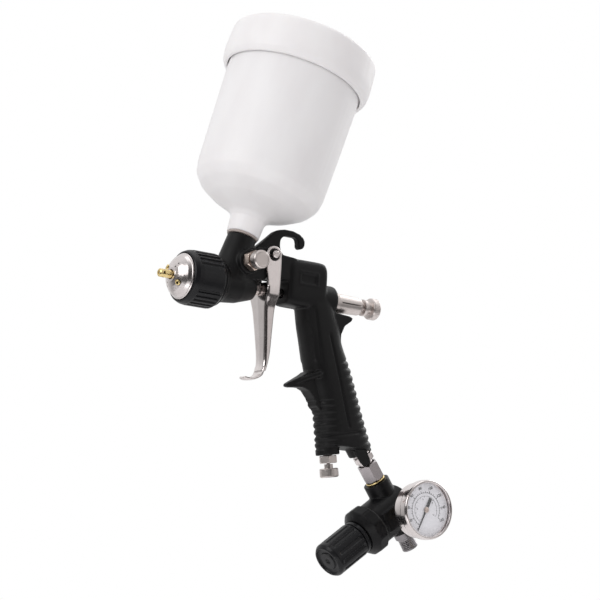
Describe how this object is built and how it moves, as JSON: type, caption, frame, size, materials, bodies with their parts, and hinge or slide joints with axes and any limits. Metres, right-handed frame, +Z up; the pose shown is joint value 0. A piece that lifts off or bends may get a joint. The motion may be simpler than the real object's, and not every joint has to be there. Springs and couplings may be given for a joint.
{
  "type": "gravity-feed spray gun",
  "caption": "Gravity-feed spray gun with a round translucent paint cup, trigger, side and rear control knobs, hanging hook, and a small air regulator with a dial gauge.",
  "frame": {"origin": "inside top of the hanging hook, where a peg carries the gun, in the gun's middle plane", "axes": "+X rearward along the needle axis, from the air cap to the fluid knob; +Z up, towards the paint cup; +Y away from the side with the fan control and the gauge dial"},
  "size_m": [0.238, 0.1104, 0.3937],
  "materials": {
    "white_nylon": "satin translucent white nylon",
    "black_composite": "satin black filled nylon",
    "black_cast_metal": "satin black paint on a zinc casting",
    "nickel_plate": "satin nickel plate on turned brass",
    "chrome_plate": "bright chrome plate",
    "bare_brass": "turned brass",
    "steel": "bright stainless steel",
    "seal_white": "white PTFE",
    "seal_rubber": "black nitrile rubber",
    "clear_lens": "clear polycarbonate window",
    "dial_face": "white enamel with black scale",
    "pointer_black": "matt black"
  },
  "bodies": {
    "gun": {"air_baffle": "bare_brass", "air_flow_nut": "nickel_plate", "air_valve_seat": "seal_white", "air_valve_spring": "steel", "bourdon_tube": "bare_brass", "cup": "white_nylon", "cup_seal": "seal_white", "cup_strainer": "white_nylon", "diaphragm_plate": "steel", "fan_valve_nut": "nickel_plate", "fluid_nozzle": "bare_brass", "fluid_sleeve": "nickel_plate", "gauge_bezel": "chrome_plate", "gauge_case": "chrome_plate", "gauge_dial": "dial_face", "gauge_lens": "clear_lens", "gauge_movement": "bare_brass", "gauge_stem": "bare_brass", "gun_body": "black_composite", "hose_nipple": "nickel_plate", "inlet_fitting": "nickel_plate", "inlet_seal_ring": "bare_brass", "needle_packing": "seal_white", "needle_spring": "steel", "nozzle_gasket": "seal_white", "packing_nut": "nickel_plate", "regulator_body": "black_cast_metal", "regulator_bonnet": "black_composite", "regulator_collar": "black_composite", "regulator_diaphragm": "seal_rubber", "regulator_plug": "nickel_plate", "regulator_spring": "steel", "regulator_tailpiece": "nickel_plate", "trigger_bush_far": "black_composite", "trigger_bush_near": "black_composite", "trigger_pivot_stud": "nickel_plate", "trigger_screw": "nickel_plate"},
    "lid": {"cup_lid": "white_nylon", "lid_vent_plug": "white_nylon", "lid_gasket": "seal_white"},
    "trigger": {"trigger": "chrome_plate"},
    "air_valve": {"air_valve_stem": "nickel_plate"},
    "needle": {"fluid_needle": "steel", "needle_stop_nut": "nickel_plate"},
    "fan_control": {"fan_knob": "nickel_plate", "fan_valve_stem": "steel"},
    "fluid_control": {"fluid_knob": "nickel_plate"},
    "air_flow_control": {"air_flow_knob": "nickel_plate", "air_flow_stem": "steel"},
    "pressure_control": {"regulator_knob": "black_composite", "regulator_screw": "steel"},
    "poppet": {"regulator_poppet": "bare_brass"},
    "ring": {"air_cap_ring": "black_composite"},
    "cap": {"air_cap": "nickel_plate", "side_jet_near": "bare_brass", "side_jet_far": "bare_brass"},
    "swivel": {"swivel_nut": "nickel_plate"},
    "pointer": {"gauge_pointer": "pointer_black", "gauge_spindle": "bare_brass"}
  },
  "joints": [
    {"name": "trigger_pull", "type": "hinge", "parent": "gun", "child": "trigger", "pos_m": [-0.0185, 0, -0.0171], "axis": [0, -1, 0], "range_deg": [0, 14], "stiffness_Nm_per_rad": 1.2, "springref_deg": -20.05},
    {"name": "air_valve_slide", "type": "slide", "parent": "gun", "child": "air_valve", "axis": [1, 0, 0], "range_m": [0, 0.0072], "deforming": ["air_valve_spring"]},
    {"name": "needle_slide", "type": "slide", "parent": "gun", "child": "needle", "axis": [1, 0, 0], "range_m": [0, 0.0055], "deforming": ["needle_spring"]},
    {"name": "fan_knob_turn", "type": "hinge", "parent": "gun", "child": "fan_control", "pos_m": [-0.0409, 0, -0.02564], "axis": [0, -1, 0], "range_deg": [0, 720]},
    {"name": "fluid_knob_turn", "type": "hinge", "parent": "gun", "child": "fluid_control", "pos_m": [0.073, 0, -0.0417], "axis": [1, 0, 0], "range_deg": [0, 720]},
    {"name": "air_flow_knob_turn", "type": "hinge", "parent": "gun", "child": "air_flow_control", "pos_m": [0.0479, 0, -0.1555], "axis": [0.1736, 0, -0.9848], "range_deg": [0, 720]},
    {"name": "regulator_knob_turn", "type": "hinge", "parent": "gun", "child": "pressure_control", "pos_m": [0.10707, 0, -0.1864], "axis": [-0.788, 0, -0.6157], "range_deg": [0, 1080]},
    {"name": "poppet_slide", "type": "slide", "parent": "gun", "child": "poppet", "axis": [0.788, 0, 0.6157], "range_m": [0, 0.0013]},
    {"name": "ring_turn", "type": "hinge", "parent": "gun", "child": "ring", "pos_m": [-0.087, 0, -0.0417], "axis": [1, 0, 0], "range_deg": [0, 1080]},
    {"name": "cap_turn", "type": "hinge", "parent": "gun", "child": "cap", "pos_m": [-0.087, 0, -0.0417], "axis": [1, 0, 0], "range_deg": [-90, 90]},
    {"name": "lid_turn", "type": "hinge", "parent": "gun", "child": "lid", "pos_m": [-0.00103, 0, 0.12088], "axis": [0.2867, 0, 0.958], "range_deg": [0, 360]},
    {"name": "swivel_turn", "type": "hinge", "parent": "gun", "child": "swivel", "pos_m": [0.08675, 0, -0.1604], "axis": [0.6157, 0, -0.788], "continuous": true},
    {"name": "pointer_swing", "type": "hinge", "parent": "gun", "child": "pointer", "pos_m": [0.10769, 0, -0.18719], "axis": [0, 1, 0], "range_deg": [0, 270], "stiffness_Nm_per_rad": 0.00002, "springref_deg": -34.38}
  ],
  "couplings": [
    {"joint": "air_valve_slide", "follows": "trigger_pull", "m_per_rad": 0.0292},
    {"joint": "needle_slide", "follows": "trigger_pull", "m_per_rad": 0.022},
    {"joint": "poppet_slide", "follows": "regulator_knob_turn", "m_per_rad": 0.000066}
  ]
}
